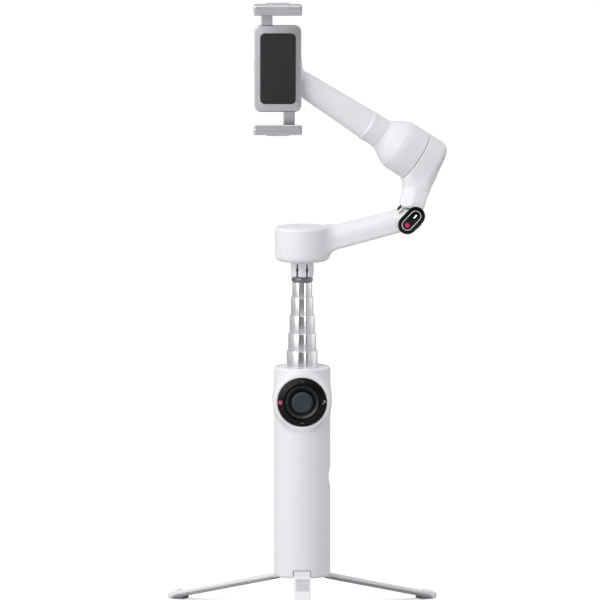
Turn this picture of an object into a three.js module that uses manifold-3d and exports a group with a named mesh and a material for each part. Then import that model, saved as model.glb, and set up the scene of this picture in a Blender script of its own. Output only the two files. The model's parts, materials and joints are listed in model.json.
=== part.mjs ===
// Handheld three-axis phone gimbal with a telescoping rod and a folding tripod base.
// Millimetres, +X to the holder's right, +Y away from the holder, +Z up.
// The origin is the centre of the handle's bottom face.
import * as THREE from "three";
import { ConvexGeometry } from "three/addons/geometries/ConvexGeometry.js";
import { mergeVertices } from "three/addons/utils/BufferGeometryUtils.js";
import Module from "manifold-3d";

// ---- driving dimensions ----
const GAP = 0.3;
const OVER = 1; // how far a cutting solid runs past the face that it opens

const HANDLE_R = 17.5;
const HANDLE_TOP = 131;
const SHELL_WALL = 2.1;
const BORE_R = HANDLE_R - SHELL_WALL;

const WHEEL_Z = 110.5;
const BOSS_R = 18;
const BOSS_FACE = 17.6;
const WHEEL_R = 15;
const DISH_R = 10.5;

const ROD_STEP = 0.85; // radius from one section to the next
const ROD_WALL = 0.6;
const ROD_LENGTH = 53;
const GLIDE_HEIGHT = 3;
const GLIDE_PROUD = 0.15; // how far a slide ring stands past its section
const KEY_WIDTH = 3.8;
const KEY_DEPTH = 0.35;
const RIB_WIDTH = 3.2;
const RIB_DEPTH = 0.4;
const ROD_TOPS = [183.7, 174.3, 163.0, 151.7, 140.9]; // section 1, the thinnest, to section 5
const ROD_THIN_R = 6.15;
const SLEEVE_BOTTOM = 76;

const NECK_PIN_Z = 190.9;
const NECK_R = 7.1;
const FINGER_R = 4;
const SLOT_X = 3;
const SLOT_WIDTH = 1.5;
const TONGUE = 1.1; // thickness
const FINGER_END = 3.7; // how far the fingers' square front reaches below the pin

const PAN_R = 16.95;
const PAN_BOTTOM = 196.8;
const PAN_TOP = 218.2;
const PAN_WALL = 1.6;
const PAN_FILLET = 2;
const LID_R = 14.6;

const ELBOW_X = 68;
const ELBOW_Z = 222.8;
const KNUCKLE_R = 6.6;
const ARM_HALF_DEPTH = 7.2;

const TILT_CENTRE = new THREE.Vector3(70.1, 12, 261.1);
const TILT_AXIS = new THREE.Vector3(85.1, 16.5, -56.4).normalize();
const TILT_R = 16.1;
const TILT_WALL = 1.6;

const CLAMP_X = -15;
const CLAMP_Z = 317.5;
const ROLL_R = 15;
const JAW_HALF_WIDTH = 14.9;
const JAW_GAP_HALF = 35.25;
const JAW_INNER = 36.2; // jaw's own inner face, behind its rubber pad
const JAW_OUTER = 40.2;
const JAW_FRONT = 19.9;
const PLATE_BACK = 6.8;
const PLATE_FRONT = 9.7;

const LEG_PIVOT_R = 12.5;
const LEG_PIVOT_Z = 2.7;
const LEG_SLOPE = THREE.MathUtils.degToRad(12.6);
const LEG_REACH = 94;
const LEG_HEEL_R = 17.2; // the heel block fills the notch in the handle
const LEG_HEEL_TOP = 4.7;
const LEG_WIDTH = 10.4;
const LEG_THICK = 3.4;
const GROUND_Z = -20.7;
const LEG_AZIMUTHS = { front: -90, left: 150, right: 30 };

const wasm = await Module();
wasm.setup();

// ---- materials ----
const paint = (color, roughness, metalness = 0) =>
  new THREE.MeshStandardMaterial({ color, roughness, metalness });
const WHITE = paint(0xf2f3f4, 0.45);
const SILVER = paint(0xb4b8bc, 0.3, 0.9);
const POLISHED = paint(0xd4d6d8, 0.15, 1);
const STEEL = paint(0x9a9da0, 0.35, 1);
const BLACK_GLOSS = paint(0x0c0d10, 0.12);
const BLACK_SATIN = paint(0x1b1c1f, 0.35);
const GREY_DARK = paint(0x2c2d30, 0.5);
const RUBBER = paint(0x26272a, 0.85);
const RUBBER_GREY = paint(0x8a8c8f, 0.85);
const BOARD = paint(0x1d5a3a, 0.5);
const CELL = paint(0x3a6ea5, 0.5);
const COPPER = paint(0xb06a3a, 0.4, 0.8);
const POM = paint(0xe6e4dc, 0.6);
const LED_RED = paint(0xd0244c, 0.3);
const LED_WHITE = paint(0xffffff, 0.3);

// ---- geometry helpers ----

// A closed geometry whose shared vertices are merged and whose collapsed faces are gone.
function welded(geometry) {
  const bare = geometry.clone();
  bare.deleteAttribute("normal");
  bare.deleteAttribute("uv");
  const merged = mergeVertices(bare, 1e-4);
  const kept = [];
  const index = merged.index.array;
  for (let i = 0; i < index.length; i += 3) {
    const [a, b, c] = [index[i], index[i + 1], index[i + 2]];
    if (a !== b && b !== c && c !== a) kept.push(a, b, c);
  }
  merged.setIndex(kept);
  return merged;
}

function toSolid(geometry) {
  const merged = welded(geometry);
  return new wasm.Manifold(
    new wasm.Mesh({
      numProp: 3,
      vertProperties: merged.attributes.position.array,
      triVerts: new Uint32Array(merged.index.array),
    }),
  );
}

function toGeometry(solid) {
  const mesh = solid.getMesh();
  const geometry = new THREE.BufferGeometry();
  geometry.setAttribute("position", new THREE.BufferAttribute(mesh.vertProperties, 3));
  geometry.setIndex(new THREE.BufferAttribute(mesh.triVerts, 1));
  geometry.computeVertexNormals();
  return geometry;
}

const joined = (first, ...others) =>
  toGeometry(others.reduce((sum, other) => sum.add(toSolid(other)), toSolid(first)));
const cut = (first, ...tools) =>
  toGeometry(tools.reduce((rest, tool) => rest.subtract(toSolid(tool)), toSolid(first)));
const common = (first, second) => toGeometry(toSolid(first).intersect(toSolid(second)));

// A cylinder along an axis, from one station on it to another.
function drum(axis, radius, from, to, sides = 24) {
  const geometry = new THREE.CylinderGeometry(radius, radius, to - from, sides);
  geometry.translate(0, (from + to) / 2, 0);
  if (axis === "z") geometry.rotateX(Math.PI / 2);
  if (axis === "x") geometry.rotateZ(-Math.PI / 2);
  return geometry;
}

function box(x0, x1, y0, y1, z0, z1) {
  const geometry = new THREE.BoxGeometry(x1 - x0, y1 - y0, z1 - z0);
  return geometry.translate((x0 + x1) / 2, (y0 + y1) / 2, (z0 + z1) / 2);
}

// A profile of [radius, height] points turned round Z; it runs up on the outside.
function turned(profile, sides = 32) {
  const points = profile.map(([r, z]) => new THREE.Vector2(r, z));
  return welded(new THREE.LatheGeometry(points, sides)).rotateX(Math.PI / 2);
}

function ring(inner, outer, from, to, sides = 24) {
  return turned([[inner, from], [outer, from], [outer, to], [inner, to], [inner, from]], sides);
}

function outline(points) {
  return new THREE.Shape(points.map(([x, y]) => new THREE.Vector2(x, y)));
}

// An outline in X and Y, extruded along +Z between two heights.
function plate(shape, from, to, curveSegments = 4) {
  const options = { depth: to - from, bevelEnabled: false, curveSegments };
  return new THREE.ExtrudeGeometry(shape, options).translate(0, 0, from);
}

function roundedRect(halfWidth, halfHeight, radius) {
  const shape = new THREE.Shape();
  const [x, y] = [halfWidth - radius, halfHeight - radius];
  shape.absarc(x, y, radius, 0, Math.PI / 2);
  shape.absarc(-x, y, radius, Math.PI / 2, Math.PI);
  shape.absarc(-x, -y, radius, Math.PI, Math.PI * 1.5);
  shape.absarc(x, -y, radius, Math.PI * 1.5, Math.PI * 2);
  shape.closePath();
  return shape;
}

// Points of a rounded cross-section, set square to a direction at a place.
function section(place, along, across, halfWidth, halfDepth, radius) {
  const wide = across.clone().addScaledVector(along, -across.dot(along)).normalize();
  const deep = new THREE.Vector3().crossVectors(along, wide);
  const points = roundedRect(halfWidth, halfDepth, radius).getPoints(3);
  return points.map((p) => place.clone().addScaledVector(wide, p.x).addScaledVector(deep, p.y));
}

const limb = (...sections) => welded(new ConvexGeometry(sections.flat()));
const vec = (x, y, z) => new THREE.Vector3(x, y, z);

function part(parent, name, geometry, material) {
  const mesh = new THREE.Mesh(geometry, material);
  mesh.name = name;
  parent.add(mesh);
  return mesh;
}

function frameAt(place, quaternion = new THREE.Quaternion()) {
  const group = new THREE.Group();
  group.position.copy(place);
  group.quaternion.copy(quaternion);
  return group;
}

const FACING_HOLDER = new THREE.Quaternion().setFromAxisAngle(vec(1, 0, 0), Math.PI / 2);
const ALONG_TILT = new THREE.Quaternion().setFromUnitVectors(vec(0, 0, 1), TILT_AXIS);
const tiltFrame = new THREE.Matrix4().compose(TILT_CENTRE, ALONG_TILT, vec(1, 1, 1));
const rollFrame = new THREE.Matrix4().compose(
  vec(CLAMP_X, 0, CLAMP_Z),
  FACING_HOLDER,
  vec(1, 1, 1),
);
const tiltPoint = (station) => TILT_CENTRE.clone().addScaledVector(TILT_AXIS, station);

// ---- handle ----
function gripShell() {
  const shell = joined(
    drum("z", HANDLE_R, 0, HANDLE_TOP, 40),
    drum("y", BOSS_R, -BOSS_FACE, 0, 36).translate(0, 0, WHEEL_Z),
  );
  const notches = Object.values(LEG_AZIMUTHS).map((azimuth) =>
    box(8, HANDLE_R + OVER, -5.8, 5.8, -OVER, 5.2).rotateZ(THREE.MathUtils.degToRad(azimuth)),
  );
  const open = cut(
    shell,
    drum("z", BORE_R, -OVER, HANDLE_TOP + OVER, 36),
    drum("y", WHEEL_R + GAP, -BOSS_FACE - OVER, -11.9, 36).translate(0, 0, WHEEL_Z),
    box(-6, 6, 12, HANDLE_R + OVER, 95.2, 119.2),
    box(-HANDLE_R - OVER, -12, -1.9, 1.9, 55.2, 64.8),
    drum("x", 5.8, 12, HANDLE_R + OVER, 20).translate(0, 0, 62),
    ...notches,
  );
  const ear = (x0, x1) =>
    cut(
      box(x0, x1, 10.2, 14.4, 113.5, 119),
      drum("x", 1.25, x0 - OVER, x1 + OVER, 16).translate(0, 12.4, 116.2),
    );
  return joined(open, ear(-7.8, -6.3), ear(6.3, 7.8));
}

function buildTripodHub(parent) {
  const slots = Object.values(LEG_AZIMUTHS).flatMap((azimuth) => {
    const turn = THREE.MathUtils.degToRad(azimuth);
    return [
      box(8, BORE_R + OVER, -5.7, 5.7, -OVER, 5).rotateZ(turn),
      drum("y", 1.2, -7.4, 7.4, 16).translate(LEG_PIVOT_R, 0, LEG_PIVOT_Z).rotateZ(turn),
    ];
  });
  const hub = cut(drum("z", BORE_R - GAP, 0, 6, 36), ...slots);
  part(parent, "tripod_hub", hub, GREY_DARK);
}

// Lever that swings into the back of the handle, seen from its side in Y and Z.
function triggerLever() {
  const side = outline([
    [11, 114.6], [13.6, 113.8], [15, 98], [17, 96.2], [19.8, 97], [20.6, 102],
    [17.9, 113.5], [17.2, 117.6], [14.5, 118.4], [11, 118],
  ]);
  const hole = new THREE.Path().absarc(12.4, 116.2, 1.25, 0, Math.PI * 2);
  side.holes.push(hole);
  return plate(side, -5.5, 5.5, 10).rotateX(Math.PI / 2).rotateZ(Math.PI / 2);
}

function buildHandle(parent) {
  part(parent, "grip_shell", gripShell(), WHITE);
  part(parent, "top_collar", ring(9.9, BORE_R - GAP, 127, 130.6, 36), GREY_DARK);
  part(parent, "rod_sleeve", rodTube(10.8, 0.95, 126.7 - SLEEVE_BOTTOM, false, true)
    .translate(0, 0, SLEEVE_BOTTOM), POM);
  part(parent, "battery_cell", drum("z", 9.1, 6.4, 71.4, 24), CELL);
  part(parent, "main_board", box(-8, 8, 11.2, 12.6, 12, 90), BOARD);
  const socket = cut(
    box(-17.2, -11, -1.6, 1.6, 55.5, 64.5),
    box(-18, -12, -1.2, 1.2, 55.9, 64.1),
  );
  part(parent, "usb_c_socket", socket, STEEL);
  const insert = ring(3.1, 5.5, 11.5, 16.5, 20).rotateY(Math.PI / 2).translate(0, 0, 62);
  part(parent, "thread_insert", insert, STEEL);
  part(parent, "trigger_pin", drum("x", 1, -7.3, 7.3, 14).translate(0, 12.4, 116.2), STEEL);
  part(parent, "trigger", triggerLever(), GREY_DARK);
  buildTripodHub(parent);
}

// ---- wheel and joystick, drawn with +Z toward the holder ----
function buildControls(parent) {
  const face = frameAt(vec(0, 0, WHEEL_Z), FACING_HOLDER);
  parent.add(face);
  const dish = turned([
    [6.5, 12.2], [WHEEL_R, 12.2], [WHEEL_R, 13.6], [DISH_R, 13.6], [DISH_R, 18], [10, 18.3],
    [5.6, 16.6], [5.6, 15.6], [9.3, 16.4], [9.3, 13.7], [6.5, 13.7], [6.5, 12.2],
  ]);
  part(face, "control_dish", dish, GREY_DARK);
  const wheel = turned([
    [10.8, 15.6], [WHEEL_R, 15.6], [WHEEL_R, 18.9], [14.6, 19.6], [11.6, 19.6], [10.8, 18.9],
    [10.8, 15.6],
  ]);
  part(face, "mode_wheel", wheel, BLACK_SATIN);
  part(face, "joystick_yoke", ring(2.9, 4.4, 14.1, 15.1, 20), GREY_DARK);
  const cap = turned([
    [0, 12.8], [1.8, 12.8], [1.8, 18.8], [6.7, 18.8], [6.7, 19.7], [6.1, 20.7], [5, 21.2],
    [0, 21.3],
  ], 24);
  part(face, "joystick_cap", cap, GREY_DARK);
}

// ---- telescoping rod ----

// Round outline with a flat-bottomed step at the holder's side: a groove or an inner rib.
function keyedCircle(PathType, radius, width, depth) {
  const path = new PathType();
  const half = Math.asin(width / 2 / radius);
  const floor = radius - depth;
  path.absarc(0, 0, radius, -Math.PI / 2 + half, Math.PI * 1.5 - half);
  path.lineTo(-width / 2, -floor);
  path.lineTo(width / 2, -floor);
  path.closePath();
  return path;
}

// A tube of the rod from z = 0, with the key groove outside and the guiding rib inside.
function rodTube(radius, wall, height, grooved, ribbed) {
  const outer = grooved
    ? keyedCircle(THREE.Shape, radius, KEY_WIDTH, KEY_DEPTH)
    : new THREE.Shape().absarc(0, 0, radius, 0, Math.PI * 2);
  const inner = ribbed
    ? keyedCircle(THREE.Path, radius - wall, RIB_WIDTH, RIB_DEPTH)
    : new THREE.Path().absarc(0, 0, radius - wall, 0, Math.PI * 2);
  outer.holes.push(inner);
  return plate(outer, 0, height, 12);
}

function buildRod(parent) {
  ROD_TOPS.forEach((top, i) => {
    const number = i + 1;
    const radius = ROD_THIN_R + ROD_STEP * i;
    const bottom = top - ROD_LENGTH;
    const tube = rodTube(radius, ROD_WALL, ROD_LENGTH, true, number > 1);
    part(parent, `rod_section_${number}`, tube, POLISHED).position.z = bottom;
    const keyDepth = GLIDE_PROUD + RIB_DEPTH;
    const shape = keyedCircle(THREE.Shape, radius + GLIDE_PROUD, KEY_WIDTH, keyDepth);
    shape.holes.push(new THREE.Path().absarc(0, 0, radius - ROD_WALL, 0, Math.PI * 2));
    const glide = plate(shape, -GLIDE_HEIGHT - 0.1, -0.1, 12);
    part(parent, `rod_glide_${number}`, glide, POM).position.z = bottom;
  });
}

// ---- neck hinge ----

// Side view of the neck's fingers in Y and Z, run along X. The front is square, so that it stops
// on the rod's head, and the back is round about the pin, so that the head folds backward.
function aboutPin(radius, halfDepth, from, to, top) {
  const shape = new THREE.Shape();
  shape.moveTo(-halfDepth, top);
  shape.lineTo(-halfDepth, -FINGER_END);
  shape.lineTo(-1, -FINGER_END);
  shape.absarc(0, 0, radius, Math.PI * 1.55, Math.PI * 2);
  shape.lineTo(halfDepth, 3.4);
  shape.lineTo(halfDepth, top);
  shape.closePath();
  return plate(shape, from, to, 10)
    .rotateX(Math.PI / 2)
    .rotateZ(Math.PI / 2)
    .translate(0, 0, NECK_PIN_Z);
}

function buildRodHead(parent) {
  const tongue = (x) => {
    const [near, far] = [x - TONGUE / 2, x + TONGUE / 2];
    const eye = drum("x", 3.8, near, far, 20).translate(0, 0, NECK_PIN_Z);
    const root = box(near, far, -3.8, 3.8, 186, NECK_PIN_Z);
    return joined(eye, root);
  };
  const head = joined(
    drum("z", 5.2, 175, 184.2, 24),
    drum("z", 6.65, 184, 186.4, 28),
    tongue(-SLOT_X),
    tongue(SLOT_X),
  );
  const bore = drum("x", 1.3, -9, 9, 16).translate(0, 0, NECK_PIN_Z);
  part(parent, "rod_head", cut(head, bore), STEEL);
  const pin = drum("x", 1, -6.3, 6.3, 16).translate(0, 0, NECK_PIN_Z);
  part(parent, "neck_pin", pin, STEEL);
}

function buildPanBase(parent) {
  const post = drum("z", 2.9, 199, 213.2, 24);
  const flange = drum("z", 11.5, 198.9, 200.4, 28);
  const stem = common(
    drum("z", NECK_R, 180, 199, 28),
    aboutPin(FINGER_R, NECK_R, -NECK_R, NECK_R, 12),
  );
  const slot = (x) => box(x - SLOT_WIDTH / 2, x + SLOT_WIDTH / 2, -9, 9, 180, 195.1);
  const bore = drum("x", 1.3, -6.6, 6.6, 16).translate(0, 0, NECK_PIN_Z);
  const base = cut(joined(stem, flange, post), slot(-SLOT_X), slot(SLOT_X), bore);
  part(parent, "pan_base", base, WHITE);
  part(parent, "pan_stator", stator(3.3, 10.8, 200.8, 206.8), COPPER);
  part(parent, "pan_bearing", ring(3.2, 5.8, 207.4, 210.4, 24), STEEL);
}

// A wound motor core: a ring with teeth round it.
function stator(bore, radius, from, to) {
  const teeth = 9;
  const shape = new THREE.Shape();
  for (let i = 0; i < teeth; i += 1) {
    const start = (i / teeth) * Math.PI * 2;
    const pitch = (Math.PI * 2) / teeth;
    shape.absarc(0, 0, radius, start, start + pitch * 0.62);
    shape.absarc(0, 0, radius * 0.7, start + pitch * 0.7, start + pitch * 0.92);
  }
  shape.closePath();
  return cut(plate(shape, from, to, 2), drum("z", bore, from - OVER, to + OVER, 20));
}

// ---- pan motor and its arm ----

// Bumper in the elbow's inner corner; the extra makes the pocket that it sits in.
function stopPad(extra) {
  const pad = box(-1.6 - extra, 1.6 + extra, -4.5 - extra, 4.5 + extra, -0.5 - extra, 0.5 + extra);
  return pad.rotateY(-Math.PI / 4).translate(60.2, 0, 230);
}

function buildPanArm(parent) {
  const inner = PAN_R - PAN_WALL;
  const can = turned([
    [0, PAN_BOTTOM], [14.2, PAN_BOTTOM], [16.2, PAN_BOTTOM + 0.9], [PAN_R, PAN_BOTTOM + 3],
    [PAN_R, PAN_TOP - PAN_FILLET], [PAN_R - 0.6, PAN_TOP - 0.6], [PAN_R - PAN_FILLET, PAN_TOP],
    [0, PAN_TOP],
  ], 40);
  const slope = vec(50, 0, 13.2).normalize();
  const rise = vec(0, 0, 1);
  const arm = limb(
    section(vec(8, 0, 208.2), slope, rise, 7.5, 6.8, 3),
    section(vec(64, 0, 222.7), slope, rise, 6.7, 6.8, 3),
  );
  const fillet = limb(
    section(vec(9, 0, 206.4), slope, rise, 8.6, 9.5, 3),
    section(vec(25, 0, 211.6), slope, rise, 7.3, 6.8, 3),
  );
  const knuckle = drum("y", KNUCKLE_R, -ARM_HALF_DEPTH, -0.2, 28).translate(ELBOW_X, 0, ELBOW_Z);
  const cavity = turned([
    [0, 198.4], [inner, 198.4], [inner, 214], [LID_R + 0.2, 214.4], [LID_R + 0.2, PAN_TOP + OVER],
    [0, PAN_TOP + OVER],
  ], 36);
  const housing = cut(
    joined(can, arm, fillet, knuckle),
    cavity,
    drum("z", 7.6, PAN_BOTTOM - OVER, 199, 28),
    drum("y", KNUCKLE_R + 1.3, -0.2, 9, 28).translate(ELBOW_X, 0, ELBOW_Z),
    drum("y", 1.8, -6, 1, 20).translate(ELBOW_X, 0, ELBOW_Z),
    stopPad(GAP),
  );
  part(parent, "pan_housing", housing, WHITE);
  part(parent, "elbow_stop_pad", stopPad(0), RUBBER);
  const lid = turned([
    [0, 215], [LID_R, 215], [LID_R, PAN_TOP], [0, PAN_TOP],
  ], 36);
  part(parent, "pan_cap", lid, WHITE);
  const pin = drum("y", 1.5, -5.7, 5.7, 20).translate(ELBOW_X, 0, ELBOW_Z);
  part(parent, "elbow_pin", pin, STEEL);
  buildStatusPanel(parent);
}

// Pill-shaped lamp panel on the front of the elbow, drawn with +Z toward the holder.
function buildStatusPanel(parent) {
  const lean = new THREE.Quaternion().setFromAxisAngle(vec(0, 0, 1), THREE.MathUtils.degToRad(47));
  const panel = frameAt(vec(67.7, 0, ELBOW_Z), FACING_HOLDER.clone().multiply(lean));
  parent.add(panel);
  const pill = (halfLength, halfWidth) => roundedRect(halfLength, halfWidth, halfWidth - 0.01);
  const body = cut(
    plate(pill(9.65, 5.9), 7.5, 9.1),
    cut(plate(pill(6.95, 3.2), 8.7, 10), plate(pill(6.3, 2.55), 8, 11)),
    drum("z", 1.7, 8.7, 10, 24).translate(-4, 0, 0),
    plate(roundedRect(1.5, 0.75, 0.7), 8.7, 10).translate(3.2, 0, 0),
  );
  part(panel, "status_panel", body, BLACK_GLOSS);
  const trim = plate(pill(6.85, 3.1), 8.8, 9.15);
  part(panel, "status_trim_ring", cut(trim, plate(pill(6.4, 2.65), 8, 10)), SILVER);
  part(panel, "record_lamp", drum("z", 1.5, 8.8, 9.15, 24).translate(-4, 0, 0), LED_RED);
  const bar = plate(roundedRect(1.3, 0.55, 0.5), 8.8, 9.15).translate(3.2, 0, 0);
  part(panel, "level_lamp", bar, LED_WHITE);
}

// ---- upper arm and the tilt motor's fixed cap ----
function buildUpperArm(parent) {
  const up = vec(5, 0, 15).normalize();
  const lean = vec(4, 6.5, 12).normalize();
  const across = vec(1, 0, -0.33).normalize();
  const knuckle = drum("y", KNUCKLE_R, 0.2, ARM_HALF_DEPTH, 28).translate(ELBOW_X, 0, ELBOW_Z);
  const low = section(vec(67.2, 0, 229.9), vec(-1, 0, 15).normalize(), across, 7.9, ARM_HALF_DEPTH, 3);
  const middle = section(vec(71.4, 4.5, 243), lean, across, 8, 7, 3.5);
  const bend = section(vec(71.1, 4.1, 242.2), lean, across, 7.9, 6.9, 3.5);
  const high = section(vec(75.3, 12.5, 254), lean, across, 7.2, 7.2, 3.5);
  const heel = limb(
    section(vec(68, 3.7, 224), up, across, 5.4, 3.5, 1),
    section(vec(67.3, 3.7, 231), up, across, 7.6, 3.5, 1),
  );
  const cap = turned([
    [0, 0.2], [TILT_R, 0.2], [TILT_R, 10.2], [15.4, 12.8], [13.4, 14.4], [10.6, 15], [0, 15],
  ], 36).applyMatrix4(tiltFrame);
  const cup = drum("z", TILT_R - TILT_WALL, -OVER, 13.2, 32).applyMatrix4(tiltFrame);
  const clearance = drum("y", KNUCKLE_R + 0.7, -9, 0.2, 28).translate(ELBOW_X, 0, ELBOW_Z);
  const arm = cut(
    joined(limb(low, middle), limb(bend, high), heel, knuckle, cap),
    cup,
    clearance,
    drum("y", 1.8, -1, 6, 20).translate(ELBOW_X, 0, ELBOW_Z),
    box(55, 63.9, -9, 9, 226.6, 229.9),
    stopPad(GAP),
  );
  part(parent, "upper_arm", arm, WHITE);
  const motor = frameAt(TILT_CENTRE, ALONG_TILT);
  parent.add(motor);
  part(motor, "tilt_stator", stator(3.5, 12.8, 1.4, 8.2), COPPER);
  part(motor, "tilt_bearing", ring(3.3, 6.2, 8.8, 11.8, 24), STEEL);
}

// ---- tilt motor's turning side, the bent roll arm and the roll motor's can ----
function buildRollArm(parent) {
  const shell = turned([
    [0, -43], [10.4, -43], [10.7, -38], [10.8, -27], [11.4, -23.6], [13.7, -18.6], [15.3, -14.5],
    [TILT_R, -10], [TILT_R, -0.2], [0, -0.2],
  ], 36).applyMatrix4(tiltFrame);
  const cup = drum("z", TILT_R - TILT_WALL, -9, OVER, 32).applyMatrix4(tiltFrame);
  const shaft = drum("z", 3, -10, 12.4, 24).applyMatrix4(tiltFrame);
  const back = TILT_AXIS.clone().negate();
  const neck = limb(
    section(tiltPoint(-40), back, vec(0, 1, 0), 9.6, 9.6, 9),
    section(vec(-4, 3.9, 309.5), back, vec(0, 1, 0), 6.9, 7.4, 6),
  );
  const can = drum("z", ROLL_R, -12, 4, 36).applyMatrix4(rollFrame);
  const canCavity = drum("z", ROLL_R - TILT_WALL, -12 - OVER, 2.4, 32).applyMatrix4(rollFrame);
  const canHole = drum("z", 5.2, 2, 5, 20).applyMatrix4(rollFrame);
  const hollow = toSolid(cut(shell, cup)).add(toSolid(shaft));
  const arm = cut(joined(toGeometry(hollow), neck, can), canCavity, canHole);
  part(parent, "roll_arm", arm, WHITE);
  const motor = frameAt(vec(CLAMP_X, 0, CLAMP_Z), FACING_HOLDER);
  parent.add(motor);
  part(motor, "roll_rear_cap", drum("z", ROLL_R - TILT_WALL - GAP, -11.9, -10.1, 32), WHITE);
  part(motor, "roll_stator", stator(3.6, 12, -8.6, -2), COPPER);
}

// ---- phone clamp, drawn with +Y up and +Z toward the holder ----
function jaw(side) {
  const shelf = box(-JAW_HALF_WIDTH, JAW_HALF_WIDTH, JAW_INNER, JAW_OUTER, 7, JAW_FRONT);
  const crown = box(-7.2, 7.2, JAW_OUTER - 0.2, JAW_OUTER + 0.7, 9, JAW_FRONT - 0.6);
  const lip = box(-JAW_HALF_WIDTH, JAW_HALF_WIDTH, 33.9, JAW_INNER + 0.2, 18.4, JAW_FRONT);
  const rack = box(-10.5, -3.3, -16, JAW_INNER + 1, 7.9, 8.6);
  const upper = joined(shelf, crown, lip, rack);
  return side > 0 ? upper : upper.rotateZ(Math.PI);
}

function buildClamp(parent) {
  const face = frameAt(vec(CLAMP_X, 0, CLAMP_Z), FACING_HOLDER);
  parent.add(face);
  const mount = joined(drum("z", 13, 4.4, 6.4, 32), drum("z", 3, -9, 4.6, 24));
  part(face, "magnetic_mount", mount, STEEL);
  const body = cut(
    plate(roundedRect(14.5, 27, 4), PLATE_BACK, PLATE_FRONT, 5),
    box(-10.9, 10.9, -30, 30, 7.6, 8.9),
  );
  part(face, "clamp_body", body, SILVER);
  part(face, "clamp_pad", plate(roundedRect(11, 22, 3), 10, 10.8, 5), RUBBER);
  part(face, "clamp_pinion", stator(0.8, 2.9, 7.9, 8.6), POM);
  part(face, "upper_jaw", jaw(1), SILVER);
  part(face, "lower_jaw", jaw(-1), SILVER);
  const liner = () => box(-13, 13, JAW_GAP_HALF, JAW_INNER - GAP, 10.2, 17.9);
  part(face, "upper_jaw_pad", liner(), RUBBER);
  part(face, "lower_jaw_pad", liner().rotateZ(Math.PI), RUBBER);
}

// ---- tripod legs, drawn in a frame whose +X points outward ----
function legGeometry() {
  const fall = Math.tan(LEG_SLOPE);
  const middle = (r) => 0.4 - (r - LEG_PIVOT_R) * fall;
  const half = LEG_THICK / 2 / Math.cos(LEG_SLOPE);
  const side = outline([
    [LEG_PIVOT_R, middle(LEG_PIVOT_R) - half],
    [LEG_REACH - 1.5, middle(LEG_REACH - 1.5) - half],
    [LEG_REACH, middle(LEG_REACH) + 0.4],
    [LEG_REACH - 0.6, middle(LEG_REACH) + half + 1.1],
    [LEG_REACH - 3, middle(LEG_REACH - 3) + half + 0.8],
    [LEG_REACH - 4.2, middle(LEG_REACH - 4.2) + half],
    [LEG_HEEL_R, middle(LEG_HEEL_R) + half],
    [LEG_HEEL_R, LEG_HEEL_TOP],
    [LEG_PIVOT_R, LEG_HEEL_TOP],
  ]);
  const bar = plate(side, -LEG_WIDTH / 2, LEG_WIDTH / 2).rotateX(Math.PI / 2);
  const eye = drum("y", 2.1, -LEG_WIDTH / 2, LEG_WIDTH / 2, 20);
  return cut(
    joined(bar, eye.translate(LEG_PIVOT_R, 0, LEG_PIVOT_Z)),
    drum("y", 1.2, -8, 8, 16).translate(LEG_PIVOT_R, 0, LEG_PIVOT_Z),
  );
}

function footGeometry() {
  const side = outline([[84, GROUND_Z], [92.6, GROUND_Z], [92.6, -20.05], [84, -18.15]]);
  return plate(side, -4.2, 4.2).rotateX(Math.PI / 2);
}

function buildLegs(parent) {
  for (const [name, azimuth] of Object.entries(LEG_AZIMUTHS)) {
    const leg = new THREE.Group();
    leg.rotation.z = THREE.MathUtils.degToRad(azimuth);
    parent.add(leg);
    part(leg, `leg_${name}`, legGeometry(), WHITE);
    part(leg, `foot_${name}`, footGeometry(), RUBBER_GREY);
    const pin = drum("y", 0.9, -7, 7, 14).translate(LEG_PIVOT_R, 0, LEG_PIVOT_Z);
    part(leg, `leg_pin_${name}`, pin, STEEL);
  }
}

const gimbal = new THREE.Group();
buildHandle(gimbal);
buildControls(gimbal);
buildRod(gimbal);
buildRodHead(gimbal);
buildPanBase(gimbal);
buildPanArm(gimbal);
buildUpperArm(gimbal);
buildRollArm(gimbal);
buildClamp(gimbal);
buildLegs(gimbal);

export default gimbal;
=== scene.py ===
"""Looks of the phone gimbal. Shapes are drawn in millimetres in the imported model's frame."""

import json
import math

import bpy
import numpy as np
from mathutils import Matrix, Vector


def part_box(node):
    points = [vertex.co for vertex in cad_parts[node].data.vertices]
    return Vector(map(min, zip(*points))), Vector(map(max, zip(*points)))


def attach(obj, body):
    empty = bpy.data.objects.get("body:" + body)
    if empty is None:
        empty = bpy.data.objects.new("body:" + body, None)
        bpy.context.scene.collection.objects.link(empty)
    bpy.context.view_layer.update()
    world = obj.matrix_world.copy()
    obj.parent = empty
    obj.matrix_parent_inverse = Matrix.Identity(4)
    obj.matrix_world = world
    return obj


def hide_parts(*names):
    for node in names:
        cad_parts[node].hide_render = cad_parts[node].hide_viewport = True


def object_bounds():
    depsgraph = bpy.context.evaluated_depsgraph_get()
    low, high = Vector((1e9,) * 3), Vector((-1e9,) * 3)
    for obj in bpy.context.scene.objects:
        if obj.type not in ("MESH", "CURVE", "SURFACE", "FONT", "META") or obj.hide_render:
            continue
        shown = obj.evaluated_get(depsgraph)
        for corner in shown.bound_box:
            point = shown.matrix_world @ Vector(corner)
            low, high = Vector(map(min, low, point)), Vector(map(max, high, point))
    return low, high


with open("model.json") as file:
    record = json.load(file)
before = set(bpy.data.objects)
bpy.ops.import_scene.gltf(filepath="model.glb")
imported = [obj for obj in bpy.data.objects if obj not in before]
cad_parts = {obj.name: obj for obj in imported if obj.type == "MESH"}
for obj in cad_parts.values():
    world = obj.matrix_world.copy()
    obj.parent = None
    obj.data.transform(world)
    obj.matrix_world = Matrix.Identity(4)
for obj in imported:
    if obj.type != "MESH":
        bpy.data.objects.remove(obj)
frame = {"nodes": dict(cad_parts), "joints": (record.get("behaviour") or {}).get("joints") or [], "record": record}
CAD_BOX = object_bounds()
MM = 0.001

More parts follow.
